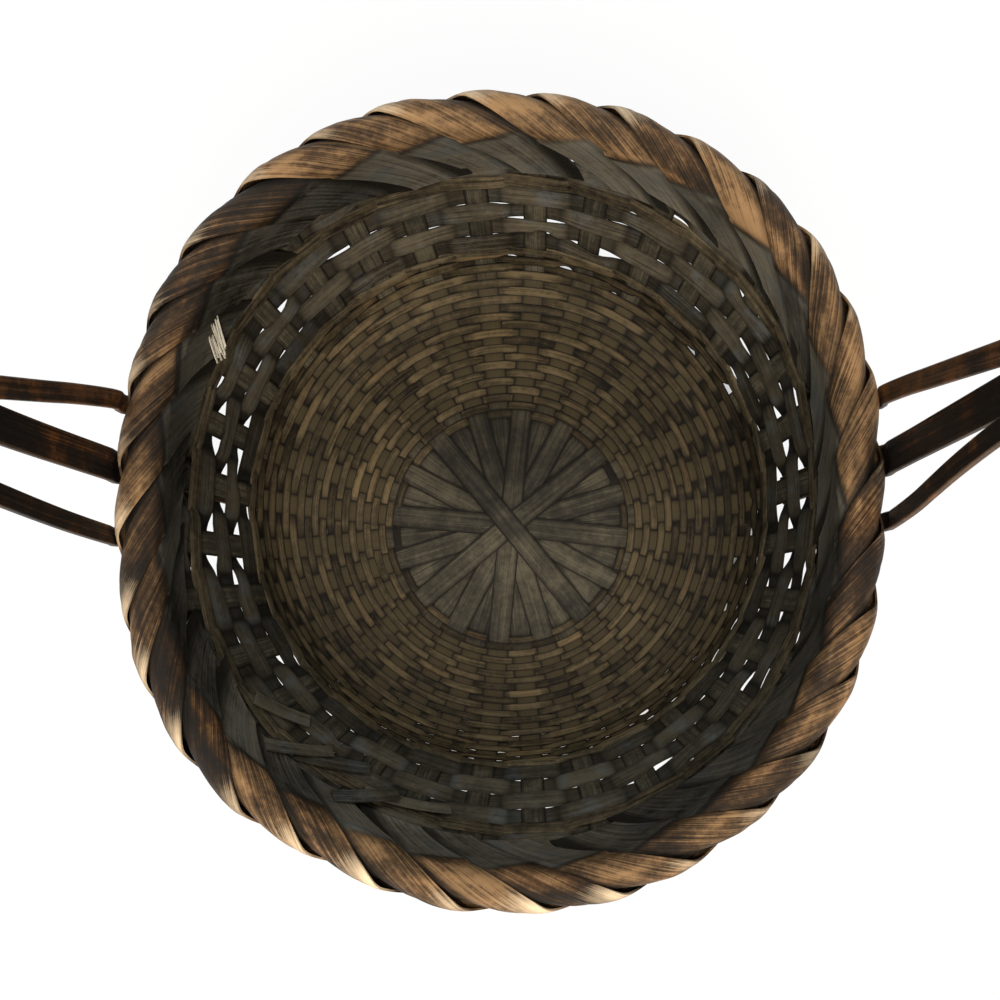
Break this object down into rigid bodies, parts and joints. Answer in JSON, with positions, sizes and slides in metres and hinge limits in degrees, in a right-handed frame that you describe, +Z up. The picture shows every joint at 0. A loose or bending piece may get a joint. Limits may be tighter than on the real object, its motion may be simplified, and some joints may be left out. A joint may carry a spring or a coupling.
{
  "type": "gathering basket",
  "caption": "Round open splint basket with a star base, close-woven floor, open woven wall, twisted rope rim and a tall fixed bail handle for carrying.",
  "frame": {"origin": "middle of the base on the ground", "axes": "+Z up, handle feet at -X and +X, picture's upper edge towards +Y"},
  "size_m": [0.272, 0.278, 0.3615],
  "materials": {
    "dark_splint": "matt, aged dark brown",
    "weaver_splint": "matt, aged brown",
    "strand_splint": "matt, aged tan",
    "rim_splint": "worn satin, golden brown",
    "handle_splint": "worn satin, dark brown",
    "binding_splint": "worn satin, brown"
  },
  "bodies": {
    "root": {"splint_01": "dark_splint", "splint_02": "dark_splint", "splint_03": "dark_splint", "splint_04": "dark_splint", "splint_05": "dark_splint", "splint_06": "dark_splint", "splint_07": "dark_splint", "splint_08": "dark_splint", "splint_09": "dark_splint", "splint_10": "dark_splint", "splint_11": "dark_splint", "splint_12": "dark_splint", "splint_13": "dark_splint", "splint_14": "dark_splint", "splint_15": "dark_splint", "splint_16": "dark_splint", "base_weaving": "weaver_splint", "corner_weaving": "weaver_splint", "lower_strand": "strand_splint", "wide_weaver_1": "weaver_splint", "wide_weaver_2": "weaver_splint", "wide_weaver_3": "weaver_splint", "wide_weaver_4": "weaver_splint", "upper_strand_1": "strand_splint", "upper_strand_2": "strand_splint", "top_weaver": "weaver_splint", "rim_strand_1": "rim_splint", "rim_strand_2": "rim_splint", "rim_tails": "rim_splint", "handle_splint_front": "handle_splint", "handle_splint_middle": "handle_splint", "handle_splint_back": "handle_splint", "grip_binding": "binding_splint"}
  },
  "joints": []
}
